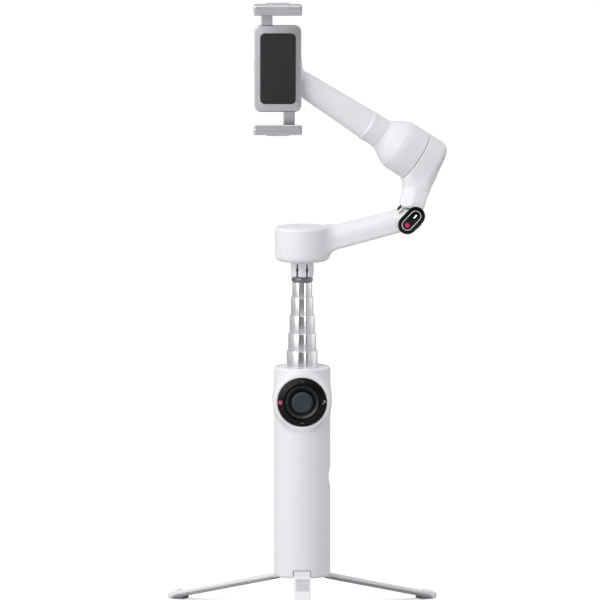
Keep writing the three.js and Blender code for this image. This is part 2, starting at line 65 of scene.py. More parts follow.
# ---- places and sizes, read from the frame ----


def node_box(node):
    """Lowest and highest corner of a CAD node, in millimetres."""
    low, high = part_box(node)
    return np.array(low) / MM, np.array(high) / MM


def joint(name):
    return next(j for j in frame["joints"] if j["name"] == name)


def pivot(name):
    return np.array(joint(name)["pos_m"]) / MM


SHELL_LOW, SHELL_HIGH = node_box("grip_shell")
HANDLE_TOP = SHELL_HIGH[2]
HANDLE_R = SHELL_HIGH[1]
BORE_R = HANDLE_R - 2.1
WHEEL_Z = node_box("mode_wheel")[0][2] / 2 + node_box("mode_wheel")[1][2] / 2
WHEEL_R = 15.0
DISH_R = 10.5
BOSS_FACE = -SHELL_LOW[1]
BOSS_R = 18.0
PAN_LOW, PAN_HIGH = node_box("pan_housing")
PAN_R = -PAN_LOW[0]
LID_R = 14.6
NECK_PIN = pivot("neck_tilt")
ELBOW = pivot("elbow_fold")
TILT_CENTRE = pivot("tilt_turn")
TILT_AXIS = np.array(joint("tilt_turn")["axis"])
TILT_R = 16.1
CLAMP = pivot("roll_turn")
ROLL_R = 15.0
LEG_AZIMUTHS = {"front": -90, "left": 150, "right": 30}
LEG_PIVOT = (12.5, 2.7)
LEG_SLOPE = math.radians(13.2)
LEG_REACH = 94.0
GROUND = CAD_BOX[0][2] / MM

# ---- distance fields ----


def norm(*parts):
    return np.sqrt(sum(p * p for p in parts))


def join(a, b, soft=0.01):
    h = np.clip(0.5 + 0.5 * (b - a) / soft, 0, 1)
    return b * (1 - h) + a * h - soft * h * (1 - h)


def cut(a, b, soft=0.01):
    return -join(-a, b, soft)


def common(a, b, soft=0.01):
    return -join(-a, -b, soft)


def drum(r, z, radius, low, high, edge=0.0):
    """Cylinder with rounded rims, from the distance to its axis and the place along it."""
    dr = r - radius + edge
    dz = np.abs(z - (low + high) / 2) - (high - low) / 2 + edge
    return np.minimum(np.maximum(dr, dz), 0) + norm(np.maximum(dr, 0), np.maximum(dz, 0)) - edge


def block(x, y, z, half, edge=0.0):
    dx, dy, dz = (np.abs(p) - h + edge for p, h in zip((x, y, z), half))
    out = norm(np.maximum(dx, 0), np.maximum(dy, 0), np.maximum(dz, 0))
    return np.minimum(np.maximum(dx, np.maximum(dy, dz)), 0) + out - edge


def beam(p, start, end, wide, half_start, half_end, edge):
    """Tapering bar between two points; its section is a rounded rectangle."""
    start, end = np.array(start, float), np.array(end, float)
    span = np.linalg.norm(end - start)
    along = (end - start) / span
    wide = np.array(wide, float)
    wide = wide - along * wide.dot(along)
    wide /= np.linalg.norm(wide)
    deep = np.cross(along, wide)
    rel = [c - s for c, s in zip(p, start)]
    at = sum(r * a for r, a in zip(rel, along))
    u = sum(r * a for r, a in zip(rel, wide))
    v = sum(r * a for r, a in zip(rel, deep))
    t = np.clip(at / span, 0, 1)
    half_u = half_start[0] + (half_end[0] - half_start[0]) * t
    half_v = half_start[1] + (half_end[1] - half_start[1]) * t
    return block(u, v, at - span / 2, (half_u, half_v, span / 2), edge)


# ---- meshing ----
CORNERS = np.array([(i, j, k) for i in (0, 1) for j in (0, 1) for k in (0, 1)])
EDGES = [(a, b) for a in CORNERS for b in CORNERS if (b - a).sum() == 1 and (b - a).min() == 0]


def slopes(field, points, step):
    shifts = np.eye(3) * step
    slopes = [field(*(points + s).T) - field(*(points - s).T) for s in shifts]
    return np.stack(slopes, 1) / (2 * step)


def settle(field, points, cell, rounds=2):
    """Moves points onto the field's surface."""
    for _ in range(rounds):
        slope = slopes(field, points, cell * 0.1)
        size = np.maximum((slope**2).sum(1), 0.05)
        step = np.clip(field(*points.T) / size, -cell, cell)
        points = points - step[:, None] * slope
    return points


def spread(field, points, faces, cell, rounds=2):
    """Evens the points out along the surface."""
    edges = np.concatenate([faces[:, [i, (i + 1) % 4]] for i in range(4)])
    for _ in range(rounds):
        total = np.zeros_like(points)
        count = np.zeros(len(points))
        for a, b in ((0, 1), (1, 0)):
            np.add.at(total, edges[:, a], points[edges[:, b]])
            np.add.at(count, edges[:, a], 1)
        move = total / np.maximum(count, 1)[:, None] - points
        slope = slopes(field, points, cell * 0.1)
        slope /= np.maximum(np.linalg.norm(slope, axis=1), 1e-6)[:, None]
        move -= slope * (move * slope).sum(1)[:, None]
        points = settle(field, points + move * 0.5, cell, 1)
    return points


def surface(field, low, high, cell):
    """Quads of the surface where the field is zero: one corner in each grid cube it crosses."""
    low = np.array(low, float) - cell * 1.7
    axes = [np.arange(a, b + cell * 2, cell) for a, b in zip(low, high)]
    value = field(*np.meshgrid(*axes, indexing="ij"))
    inside = value < 0
    cubes_shape = np.array(value.shape) - 1
    filled = np.zeros(cubes_shape, int)
    for i, j, k in CORNERS:
        filled += inside[i : i + cubes_shape[0], j : j + cubes_shape[1], k : k + cubes_shape[2]]
    mixed = (filled > 0) & (filled < 8)
    number = np.full(cubes_shape, -1)
    number[mixed] = np.arange(mixed.sum())
    cubes = np.argwhere(mixed)
    total = np.zeros((len(cubes), 3))
    hits = np.zeros(len(cubes))
    for a, b in EDGES:
        va = value[tuple((cubes + a).T)]
        vb = value[tuple((cubes + b).T)]
        cross = (va < 0) != (vb < 0)
        t = va[cross] / (va[cross] - vb[cross])
        total[cross] += a + t[:, None] * (b - a)
        hits[cross] += 1
    points = low + (cubes + total / hits[:, None]) * cell
    faces = []
    for axis in range(3):
        one, two = (axis + 1) % 3, (axis + 2) % 3
        before = np.take(inside, range(value.shape[axis] - 1), axis)
        after = np.take(inside, range(1, value.shape[axis]), axis)
        at = np.argwhere(before != after)
        starts = before[tuple(at.T)]
        quad = []
        for p, q in ((1, 1), (0, 1), (0, 0), (1, 0)):
            cube = at.copy()
            cube[:, one] -= p
            cube[:, two] -= q
            quad.append(number[tuple(cube.T)])
        quad = np.stack(quad, 1)
        quad[~starts] = quad[~starts][:, ::-1]
        faces.append(quad)
    faces = np.concatenate(faces)
    points = settle(field, points, cell)
    return spread(field, points, faces, cell), faces


def piece(name, points, faces, material, smooth=True):
    """A mesh object from points in millimetres."""
    mesh = bpy.data.meshes.new(name)
    mesh.from_pydata((np.asarray(points) * MM).tolist(), [], [list(map(int, f)) for f in faces])
    mesh.validate()
    mesh.materials.append(material)
    if smooth:
        mesh.polygons.foreach_set("use_smooth", [True] * len(mesh.polygons))
    obj = bpy.data.objects.new(name, mesh)
    bpy.context.scene.collection.objects.link(obj)
    return obj


def axes_frame(origin, z_axis, x_hint=(1, 0, 0)):
    """4x4 frame at a place with its Z along an axis."""
    z = Vector(z_axis).normalized()
    x = Vector(x_hint)
    x = (x - z * x.dot(z)).normalized()
    y = z.cross(x)
    rows = [[x[i], y[i], z[i], origin[i]] for i in range(3)]
    return np.array(rows + [[0, 0, 0, 1]])


def moved(points, placing):
    points = np.asarray(points, float)
    return points @ placing[:3, :3].T + placing[:3, 3]


def cast(name, field, low, high, cell, material, placing=None):
    """A moulded piece, meshed from its field, drawn in the row frame or in a frame of its own."""
    points, faces = surface(field, low, high, cell)
    if placing is not None:
        points = moved(points, placing)
    return piece(name, points, faces, material)


def filleted(corners, closed=False, steps=5):
    """Outline whose corners, given as (x, y, radius), are rounded."""
    out = []
    count = len(corners)
    for i, (x, y, radius) in enumerate(corners):
        here = np.array((x, y), float)
        if radius == 0 or (not closed and i in (0, count - 1)):
            out.append(here)
            continue
        before = np.array(corners[i - 1][:2], float) - here
        after = np.array(corners[(i + 1) % count][:2], float) - here
        a = here + before / np.linalg.norm(before) * radius
        b = here + after / np.linalg.norm(after) * radius
        for t in np.linspace(0, 1, steps):
            out.append((1 - t) ** 2 * a + 2 * t * (1 - t) * here + t * t * b)
    return np.array(out)


def turned(name, corners, material, placing=np.eye(4), closed=True, sides=128):
    """A turned piece from (radius, height, rounding) corners that run up on the outside."""
    profile = filleted(corners, closed)
    count = len(profile)
    turn = np.linspace(0, 2 * math.pi, sides, endpoint=False)
    points = np.concatenate(
        [
            np.stack([profile[:, 0] * math.cos(a), profile[:, 0] * math.sin(a), profile[:, 1]], 1)
            for a in turn
        ]
    )
    faces = []
    for i in range(sides):
        j = (i + 1) % sides
        for k in range(count if closed else count - 1):
            n = (k + 1) % count
            faces.append((i * count + k, j * count + k, j * count + n, i * count + n))
    obj = piece(name, moved(points, placing), faces, material)
    weld(obj)
    return obj


def weld(obj, distance=0.002 * MM):
    import bmesh

    bm = bmesh.new()
    bm.from_mesh(obj.data)
    bmesh.ops.remove_doubles(bm, verts=bm.verts, dist=distance)
    bmesh.ops.dissolve_degenerate(bm, edges=bm.edges, dist=distance)
    bm.to_mesh(obj.data)
    bm.free()


def rounded_outline(half_x, half_y, corner, steps=10):
    points = []
    for quarter, (sx, sy) in enumerate(((1, 1), (-1, 1), (-1, -1), (1, -1))):
        for t in np.linspace(0, math.pi / 2, steps):
            a = quarter * math.pi / 2 + t
            x = sx * (half_x - corner) + corner * math.cos(a)
            y = sy * (half_y - corner) + corner * math.sin(a)
            points.append((x, y))
    return np.array(points)


def slab(name, half_x, half_y, corner, low, high, edge, material, placing=np.eye(4), hole=None):
    """A plate with a rounded-rectangle outline and rounded rims, perhaps with a hole like it."""
    levels = []
    for t in np.linspace(0, math.pi / 2, 5):
        levels.append((low + edge - edge * math.cos(t), edge - edge * math.sin(t)))
    levels += [(high - (z - low), inset) for z, inset in reversed(levels)]
    loops = []
    for z, inset in levels:
        outline = rounded_outline(half_x - inset, half_y - inset, max(corner - inset, 0.02))
        loops.append(np.column_stack([outline, np.full(len(outline), z)]))
    if hole:
        for z, inset in reversed(levels):
            outline = rounded_outline(hole[0] + inset, hole[1] + inset, hole[2] + inset)
            loops.append(np.column_stack([outline, np.full(len(outline), z)]))
    count = len(loops[0])
    faces = []
    rows = len(loops)
    for r in range(rows if hole else rows - 1):
        s = (r + 1) % rows
        for i in range(count):
            j = (i + 1) % count
            faces.append((r * count + i, r * count + j, s * count + j, s * count + i))
    if not hole:
        faces.append(list(range(count))[::-1])
        faces.append([(rows - 1) * count + i for i in range(count)])
    return piece(name, moved(np.concatenate(loops), placing), faces, material)


# ---- materials ----


def node_material(name, colour, roughness, metallic=0.0, coat=0.0, grain=0.0, grain_size=0.4,
                  vary=0.03, emission=None, stretch=(1, 1, 1), specular=0.5):
    """Procedural finish: fine grain in the bump, faint mottling in colour and roughness."""
    material = bpy.data.materials.new(name)
    material.use_nodes = True
    tree = material.node_tree
    shader = tree.nodes["Principled BSDF"]
    shader.inputs["Metallic"].default_value = metallic
    shader.inputs["Coat Weight"].default_value = coat
    shader.inputs["Specular IOR Level"].default_value = specular
    shader.inputs["Coat Roughness"].default_value = 0.08
    place = tree.nodes.new("ShaderNodeTexCoord")
    mapping = tree.nodes.new("ShaderNodeMapping")
    mapping.inputs["Scale"].default_value = stretch
    tree.links.new(place.outputs["Object"], mapping.inputs["Vector"])
    broad = tree.nodes.new("ShaderNodeTexNoise")
    broad.inputs["Scale"].default_value = 90
    broad.inputs["Detail"].default_value = 3
    tree.links.new(mapping.outputs["Vector"], broad.inputs["Vector"])
    tint = tree.nodes.new("ShaderNodeMix")
    tint.data_type = "RGBA"
    tint.inputs["A"].default_value = (*[c * (1 - vary) for c in colour], 1)
    tint.inputs["B"].default_value = (*[min(c * (1 + vary), 1) for c in colour], 1)
    tree.links.new(broad.outputs["Fac"], tint.inputs["Factor"])
    tree.links.new(tint.outputs["Result"], shader.inputs["Base Color"])
    gloss = tree.nodes.new("ShaderNodeMapRange")
    gloss.inputs["To Min"].default_value = roughness * 0.85
    gloss.inputs["To Max"].default_value = roughness * 1.15
    tree.links.new(broad.outputs["Fac"], gloss.inputs["Value"])
    tree.links.new(gloss.outputs["Result"], shader.inputs["Roughness"])
    if grain:
        fine = tree.nodes.new("ShaderNodeTexNoise")
        fine.inputs["Scale"].default_value = 1 / (grain_size * MM)
        fine.inputs["Detail"].default_value = 2
        tree.links.new(mapping.outputs["Vector"], fine.inputs["Vector"])
        bump = tree.nodes.new("ShaderNodeBump")
        bump.inputs["Strength"].default_value = grain
        bump.inputs["Distance"].default_value = 0.02 * MM
        tree.links.new(fine.outputs["Fac"], bump.inputs["Height"])
        tree.links.new(bump.outputs["Normal"], shader.inputs["Normal"])
    if emission:
        shader.inputs["Emission Color"].default_value = (*emission[:3], 1)
        shader.inputs["Emission Strength"].default_value = emission[3]
    return material


MATERIALS = {
    "white_shell": node_material("white_satin", (0.82, 0.825, 0.835), 0.40, specular=0.4,
                                 grain=0.25),
    "silver_metal": node_material("blasted_aluminium", (0.68, 0.685, 0.70), 0.36, 1.0, grain=0.3),
    "polished_tube": node_material("drawn_aluminium", (0.86, 0.865, 0.875), 0.24, 1.0, grain=0.10,
                                   stretch=(1, 1, 0.02)),
    "steel": node_material("steel", (0.28, 0.285, 0.295), 0.26, 1.0, grain=0.3,
                           stretch=(1, 1, 0.1)),
    "black_gloss": node_material("black_gloss", (0.002, 0.0022, 0.003), 0.10, specular=0.3,
                                 vary=0.2),
    "black_satin": node_material("black_satin", (0.003, 0.0032, 0.0045), 0.27, specular=0.2,
                                 grain=0.15, vary=0.15),
    "dark_plastic": node_material("dark_matt", (0.034, 0.040, 0.045), 0.45, specular=0.3, grain=0.5,
                                  vary=0.12),
    "rubber_black": node_material("rubber", (0.014, 0.014, 0.015), 0.75, grain=0.7, grain_size=0.25,
                                  vary=0.15),
    "rubber_grey": node_material("grey_rubber", (0.30, 0.31, 0.32), 0.7, grain=0.7, grain_size=0.25,
                                 vary=0.08),
    "circuit_board": node_material("solder_mask", (0.02, 0.13, 0.06), 0.35, coat=0.3, vary=0.2),
    "battery_wrap": node_material("battery_wrap", (0.06, 0.18, 0.40), 0.3, coat=0.3),
    "winding": node_material("enamelled_copper", (0.50, 0.20, 0.09), 0.3, 0.9, grain=0.8,
                             stretch=(1, 1, 6)),
    "glide_plastic": node_material("glide_plastic", (0.72, 0.71, 0.67), 0.45, grain=0.2),
    "red_lamp": node_material("red_lamp", (0.40, 0.01, 0.06), 0.25, coat=0.3,
                              emission=(1.0, 0.04, 0.16, 0.16)),
    "white_lamp": node_material("white_lamp", (0.9, 0.9, 0.9), 0.25, coat=0.5,
                                emission=(1, 1, 1, 1.6)),
}
WHITE = MATERIALS["white_shell"]
SILVER = MATERIALS["silver_metal"]
TUBE = MATERIALS["polished_tube"]
BLACK = MATERIALS["black_satin"]
GLOSS = MATERIALS["black_gloss"]
DARK = MATERIALS["dark_plastic"]
RUBBER = MATERIALS["rubber_black"]
STEEL = MATERIALS["steel"]
WHITE_MARK = node_material("printed_white", (0.75, 0.76, 0.78), 0.4, vary=0.05)
PINK_MARK = node_material("printed_red", (0.55, 0.10, 0.17), 0.4, vary=0.05)
GREY_MARK = node_material("printed_grey", (0.10, 0.105, 0.115), 0.4, vary=0.05)
DISH = node_material("dish_satin", (0.008, 0.0085, 0.010), 0.32, specular=0.6, vary=0.15)
TRIM = node_material("satin_trim", (0.72, 0.73, 0.75), 0.5, 0.35, vary=0.02)


def finish_cad_nodes():
    """Gives every CAD node its slot's material."""
    for entry in frame["record"]["subparts"]:
        obj = frame["nodes"][entry["node"]]
        obj.data.materials.clear()
        obj.data.materials.append(MATERIALS[entry["material_slot"]])


def stand_in(obj, body, *nodes):
    """Makes a piece ride on a body in place of CAD nodes, which it hides."""
    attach(obj, body)
    if nodes:
        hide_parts(*nodes)
    return obj


FACING = axes_frame((0, 0, 0), (0, -1, 0))


def facing_at(x, z):
    """Frame in the plane of the holder's view: X right, Y up, Z toward the holder."""
    placing = FACING.copy()
    placing[:3, 3] = (x, 0, z)
    return placing


# ---- handle ----


def spun(x, y, azimuth):
    """Radial and sideways coordinates about the handle's axis."""
    a = math.radians(azimuth)
    return x * math.cos(a) + y * math.sin(a), -x * math.sin(a) + y * math.cos(a)


def grip_field(x, y, z):
    r = norm(x, y)
    about_wheel = norm(x, z - WHEEL_Z)
    body = drum(r, z, HANDLE_R, 0, HANDLE_TOP, 1.3)
    boss = drum(about_wheel, y, BOSS_R, -BOSS_FACE, 6, 2.2)
    body = join(body, boss, 3.0)
    body = cut(body, r - BORE_R, 0.4)
    pocket = drum(about_wheel, y, WHEEL_R + 0.2, -BOSS_FACE - 9, -11.9)
    body = cut(body, pocket, 0.5)
    body = cut(body, block(x, y - 16, z - 107.2, (6, 5, 12), 1), 0.5)
    body = cut(body, block(x + 17, y, z - 60, (6, 1.9, 4.8), 1.5), 0.4)
    body = cut(body, drum(norm(y, z - 62), x, 5.8, 11, 20), 0.4)
    for azimuth in LEG_AZIMUTHS.values():
        out, side = spun(x, y, azimuth)
        body = cut(body, block(out - 15, side, z, (7, 5.5, 5.0), 0.4), 0.2)
    return body


def make_handle():
    grip = cast("grip_body", grip_field, SHELL_LOW, SHELL_HIGH, 0.62, WHITE)
    stand_in(grip, "handle", "grip_shell")
    top = HANDLE_TOP - 0.6
    collar = turned("rod_mouth_ring", [
        (9.75, top - 3, 0.3), (BORE_R - 0.1, top - 3, 0.3),
        (BORE_R - 0.1, top, 0.2), (9.75, top, 0.3),
    ], WHITE)
    stand_in(collar, "handle", "top_collar")
    hub = cast("leg_hub", hub_field, (-15.2, -15.2, 0), (15.2, 15.2, 6), 0.5, DARK)
    stand_in(hub, "handle", "tripod_hub")
    lever = cast("trigger_lever_shell", trigger_field, (-6, 10, 95), (6, 21.5, 119), 0.4, DARK)
    stand_in(lever, "trigger_lever", "trigger")
    insert = turned("accessory_insert", [
        (3.1, 11.5, 0.3), (5.5, 11.5, 0.3), (5.5, 16.5, 0.35), (3.1, 16.5, 0.6),
    ], STEEL, axes_frame((0, 0, 62), (1, 0, 0), (0, 1, 0)), sides=64)
    stand_in(insert, "handle", "thread_insert")
    socket = slab("charging_socket", 1.6, 4.5, 1.55, 11, 17.2, 0.15, STEEL,
                  axes_frame((0, 0, 60), (-1, 0, 0), (0, 1, 0)), hole=(1.15, 4.05, 1.1))
    stand_in(socket, "handle", "usb_c_socket")


def hub_field(x, y, z):
    body = drum(norm(x, y), z, BORE_R - 0.3, 0, 6, 0.6)
    for azimuth in LEG_AZIMUTHS.values():
        out, side = spun(x, y, azimuth)
        body = cut(body, block(out - 16, side, z - 1, (8, 5.7, 4), 0.3), 0.3)
    return body


def trigger_field(x, y, z):
    """Lever with a hollowed finger face, hung on its pin."""
    pin = pivot("trigger_pull")
    grip = beam((x, y, z), (0, 15.9, 116.6), (0, 17.9, 97.5), (1, 0, 0),
                (5.5, 1.7), (5.5, 2.4), 1.5)
    finger = norm(y - 32, z - 104) - 12.6
    lug = drum(norm(y - pin[1], z - pin[2]), x, 2.1, -5.5, 5.5, 0.4)
    lug_foot = join(lug, block(x, y - 14, z - 116.2, (5.5, 2, 1.6), 0.4), 0.5)
    body = join(cut(grip, finger, 1.0), lug_foot, 1.0)
    return cut(body, norm(y - pin[1], z - pin[2]) - 1.2)


# ---- wheel and joystick ----


def make_controls():
    face = facing_at(0, WHEEL_Z)
    dish = turned("control_cup", [
        (6.5, 12.2, 0.2), (WHEEL_R, 12.2, 0.2), (WHEEL_R, 13.6, 0.2), (DISH_R, 13.6, 0.2),
        (DISH_R, 18.25, 0.2), (10.1, 18.35, 0.2), (7.6, 17.2, 1.8), (5.6, 16.6, 0.2),
        (5.6, 15.6, 0.2),
        (9.3, 16.2, 0.2), (9.3, 13.7, 0.2), (6.5, 13.7, 0.2),
    ], DISH, face)
    stand_in(dish, "handle", "control_dish")
    wheel = turned("wheel_ring", [
        (10.85, 15.6, 0.2), (WHEEL_R, 15.6, 0.2), (WHEEL_R, 18.4, 0.35), (11.4, 19.6, 0.45),
        (10.85, 18.9, 0.3),
    ], BLACK, face)
    stand_in(wheel, "wheel", "mode_wheel")
    cap = turned("stick_cap", [
        (0, 12.8, 0), (1.8, 12.8, 0.2), (1.8, 18.4, 0.4), (6.2, 18.5, 0.3), (6.7, 19.0, 0.35),
        (6.7, 19.9, 0.5), (5.8, 20.9, 0.4), (4.9, 21.2, 0.3), (4.6, 20.95, 0.25), (0, 20.9, 0),
    ], DARK, face, closed=False)
    stand_in(cap, "stick", "joystick_cap")
    make_wheel_marks(face)


def make_wheel_marks(face):
    """Small generic signs printed on the ring: two arrows, a frame, a bar and two dots."""
    level = 19.1

    def mark(name, outline, x, y, material, height=level):
        loop = np.array(outline, float) + (x, y)
        count = len(loop)
        low = np.column_stack([loop, np.full(count, height)])
        high = np.column_stack([loop, np.full(count, height + 0.06)])
        faces = [list(range(count))[::-1], [count + i for i in range(count)]]
        faces += [(i, (i + 1) % count, count + (i + 1) % count, count + i) for i in range(count)]
        obj = piece(name, moved(np.concatenate([low, high]), face), faces, material, smooth=False)
        stand_in(obj, "wheel")
        return obj

    ring = 13.0
    bar = rounded_outline(1.6, 1.2, 0.4, 4)
    mark("mark_record", bar, -ring, 0, PINK_MARK, level + 0.02)
    arrow = [(-0.9, -0.2), (0, 0.75), (0.9, -0.2), (0.5, -0.45), (0, 0.1), (-0.5, -0.45)]
    mark("mark_up", arrow, 0, ring, GREY_MARK, level + 0.02)
    mark("mark_down", rounded_outline(1.1, 0.25, 0.2, 4), 0, -ring, GREY_MARK, level + 0.02)
    corner = [(-0.8, -0.8), (0.5, -0.8), (0.5, -0.5), (-0.5, -0.5), (-0.5, 0.5), (-0.8, 0.5)]
    mark("mark_turn_a", corner, ring, 0, WHITE_MARK, level + 0.02)
    mark("mark_turn_b", -np.array(corner), ring + 0.5, 0.4, WHITE_MARK, level + 0.02)
    for name, x, y in (("tick_top", 0, 9.6), ("tick_left", -9.6, 0)):
        turn = Matrix.Rotation(math.pi / 2 if x else 0, 4, "Z")
        placing = face @ np.array(Matrix.Translation((x, y, 0)) @ turn)
        tick = slab(name, 0.18, 0.4, 0.15, 18.0, 18.25, 0.05, GREY_MARK, placing)
        stand_in(tick, "handle")


# ---- rod ----


def keyed_loop(radius, groove, z, sides=160):
    """Round loop with a shallow hollow groove down the holder's side."""
    half = 1.9
    a = np.linspace(0, 2 * math.pi, sides, endpoint=False)
    x = radius * np.cos(a)
    y = radius * np.sin(a)
    near = (np.abs(x) < half) & (y < 0)
    depth = np.zeros(sides)
    depth[near] = groove * (0.35 + 0.65 * np.sqrt(np.maximum(1 - (x[near] / half) ** 2, 0)))
    scale = (radius - depth) / radius
    return np.column_stack([x * scale, y * scale, np.full(sides, z)])


def make_tube(number):
    node = f"rod_section_{number}"
    low, high = node_box(node)
    radius = high[1]
    wall = 0.6
    top, bottom = high[2], low[2]
    crest = [
        (radius, bottom), (radius, top - 0.35), (radius - 0.08, top - 0.12), (radius - 0.25, top),
        (radius - wall + 0.1, top), (radius - wall, top - 0.15), (radius - wall, bottom),
    ]
    loops = [keyed_loop(r, 0.62 if r > radius - 0.3 else 0.3, z) for r, z in crest]
    count, rows = len(loops[0]), len(loops)
    faces = []
    for r in range(rows):
        s = (r + 1) % rows
        for i in range(count):
            j = (i + 1) % count
            faces.append((r * count + i, r * count + j, s * count + j, s * count + i))
    tube = piece(f"tube_{number}", np.concatenate(loops), faces, TUBE)
    stand_in(tube, f"rod_{number}", node)


def make_rod():
    for number in range(1, 6):
        make_tube(number)
    head = cast("rod_head_casting", head_field, (-6.8, -6.8, 175), (6.8, 6.8, 195), 0.32, STEEL)
    stand_in(head, "rod_1", "rod_head")


def head_field(x, y, z):
    plug = drum(norm(x, y), z, 5.2, 175, 184.4, 0.3)
    collar = drum(norm(x, y), z, 6.65, 184.0, 186.4, 0.35)
    body = join(plug, collar, 0.3)
    about = norm(y, z - NECK_PIN[2])
    for side in (-3, 3):
        eye = drum(about, x - side, 3.8, -0.55, 0.55, 0.15)
        root = block(x - side, y, z - 188.4, (0.55, 3.8, 2.5), 0.15)
        body = join(body, join(eye, root, 0.2), 0.2)
    return body


def neck_field(x, y, z):
    rise = z - NECK_PIN[2]
    square = block(x, y + 4.3, rise - 5, (9, 4.3, 8.7), 0.5)
    end_foot = block(x, y, rise - 8.5, (9, 7.1, 5.1), 0.5)
    round_end = join(join(norm(y, rise) - 4, square, 0.5), end_foot, 2.0)
    body = common(drum(norm(x, y), z, 7.1, 180, 199.5, 0.4), round_end, 0.6)
    body = join(body, drum(norm(x, y), z, 11.5, 198.9, 200.4, 0.3), 0.3)
    body = join(body, drum(norm(x, y), z, 2.9, 199, 213.2, 0.3), 0.3)
    for side in (-3, 3):
        body = cut(body, block(x - side, y, z - 186, (0.75, 9, 9.1), 0.1), 0.05)
    return cut(body, drum(norm(y, rise), x, 1.2, -6.6, 6.6), 0.1)


# ---- pan motor and lower arm ----


def pan_field(x, y, z):
    r = norm(x, y)
    low, high = PAN_LOW[2], node_box("pan_cap")[1][2]
    base = drum(r, z, PAN_R, low, high - 2, 3.4)
    crown = drum(r, z, PAN_R, low + 6, high, 2.1)
    can = join(base, crown, 0.1)
    start, end = (4, 0, 207.5), (66, 0, 223.6)
    arm = beam((x, y, z), start, end, (0, 0, 1), (7.75, 6.9), (6.95, 6.9), 2.0)
    run, climb = end[0] - start[0], end[2] - start[2]
    up = ((z - start[2]) * run - (x - start[0]) * climb) / math.hypot(run, climb)
    for side in (-1, 1):
        arm = common(arm, 0.66 * up + 0.75 * side * y - 6.5, 2.2)
    knuckle = drum(norm(x - ELBOW[0], z - ELBOW[2]), y, 6.6, -7.2, -0.2, 0.5)
    rear = drum(norm(x - ELBOW[0], z - ELBOW[2]), y, 7.9, -0.2, 9)
    arm = cut(join(arm, knuckle, 1.5), rear, 0.3)
    body = join(can, arm, 6.0)
    body = cut(body, drum(r, z, PAN_R - 1.6, low + 1.6, 214.2), 0.3)
    body = cut(body, drum(r, z, LID_R + 0.14, 212, high + 5), 0.12)
    body = cut(body, drum(r, z, 7.6, low - 2, low + 3), 0.3)
    u, v = along_pad(x, z)
    # the bumper leans on this small bracket
    bracket = block(u + 0.4, y + 3.55, v + 1.12, (1.9, 3.35, 0.55), 0.1)
    body = join(body, bracket, 0.3)
    return cut(body, stop_pad_field(x, y, z, 0.05), 0.02)


def along_pad(x, z):
    """Coordinates along and square to the elbow's bumper, which lies at 45 degrees."""
    low, high = node_box("elbow_stop_pad")
    right, up = x - (low[0] + high[0]) / 2, z - (low[2] + high[2]) / 2
    return (right + up) / math.sqrt(2), (up - right) / math.sqrt(2)


def stop_pad_field(x, y, z, extra=0.0):
    u, v = along_pad(x, z)
    return block(u, y, v, (1.6 + extra, 4.5 + extra, 0.42 + extra), 0.2)


def make_pan_arm():
    neck = cast("neck_casting", neck_field, (-11.6, -11.6, 186.5), (11.6, 11.6, 213.5), 0.3, WHITE)
    stand_in(neck, "neck", "pan_base")
    arm = cast("pan_casting", pan_field, PAN_LOW, PAN_HIGH, 0.6, WHITE)
    stand_in(arm, "pan", "pan_housing")
    top = node_box("pan_cap")[1][2]
    lid = turned("pan_lid", [
        (0, top - 2.9, 0), (LID_R, top - 2.9, 0.2), (LID_R, top, 0.12), (1.5, top, 0.05),
        (1.45, top - 0.12, 0.03), (1.15, top - 0.12, 0.03), (1.1, top, 0.05), (0, top, 0),
    ], WHITE, closed=False)
    stand_in(lid, "pan", "pan_cap")
    pad = cast("elbow_bumper", stop_pad_field, *node_box("elbow_stop_pad"), 0.3, RUBBER)
    stand_in(pad, "pan", "elbow_stop_pad")
    make_status_panel()


def make_status_panel():
    low, high = node_box("status_panel")
    face = facing_at((low[0] + high[0]) / 2, (low[2] + high[2]) / 2)
    face = face @ np.array(Matrix.Rotation(math.radians(47), 4, "Z"))
    body = slab("lamp_panel", 9.65, 5.9, 5.89, 7.5, 8.95, 0.55, GLOSS, face)
    stand_in(body, "pan", "status_panel")
    trim = slab("lamp_trim", 7.2, 3.45, 3.44, 8.8, 9.15, 0.15, TRIM, face, hole=(6.75, 3.0, 2.99))
    stand_in(trim, "pan", "status_trim_ring")
    window = slab("lamp_window", 6.7, 2.95, 2.94, 8.8, 9.05, 0.08, GLOSS, face)
    stand_in(window, "pan")
    at = np.array(Matrix.Translation((-3.9, 0, 0)))
    dot = turned("lamp_red", [(0, 8.9, 0), (1.45, 8.9, 0.05), (1.45, 9.14, 0.1), (0, 9.16, 0)],
                 MATERIALS["red_lamp"], face @ at, closed=False, sides=48)
    stand_in(dot, "pan", "record_lamp")
    at = np.array(Matrix.Translation((3.4, 0, 0)))
    bar = slab("lamp_white", 1.25, 0.34, 0.3, 8.9, 9.14, 0.06, MATERIALS["white_lamp"], face @ at)
    stand_in(bar, "pan", "level_lamp")


# ---- upper arm, roll arm ----
TILT = axes_frame(TILT_CENTRE, TILT_AXIS)
SEAM = 0.1  # half the gap between the tilt motor's fixed and turning sides


def from_tilt(a, b, s):
    """Row-frame coordinates of points given in the tilt motor's frame."""
    return [TILT[i, 0] * a + TILT[i, 1] * b + TILT[i, 2] * s + TILT[i, 3] for i in range(3)]


def ridge(x, y, z):
    """The upper arm's front: two faces that meet in a soft upright edge."""
    edge_x = 67.6 + (z - 231.7) * 0.25
    edge_y = -7.2 + np.maximum(z - 229, 0) * 0.31
    left = -0.42 * (x - edge_x) - 0.91 * (y - edge_y)
    right = 0.24 * (x - edge_x) - 0.97 * (y - edge_y)
    return join(-left, -right, 1.2) * -1


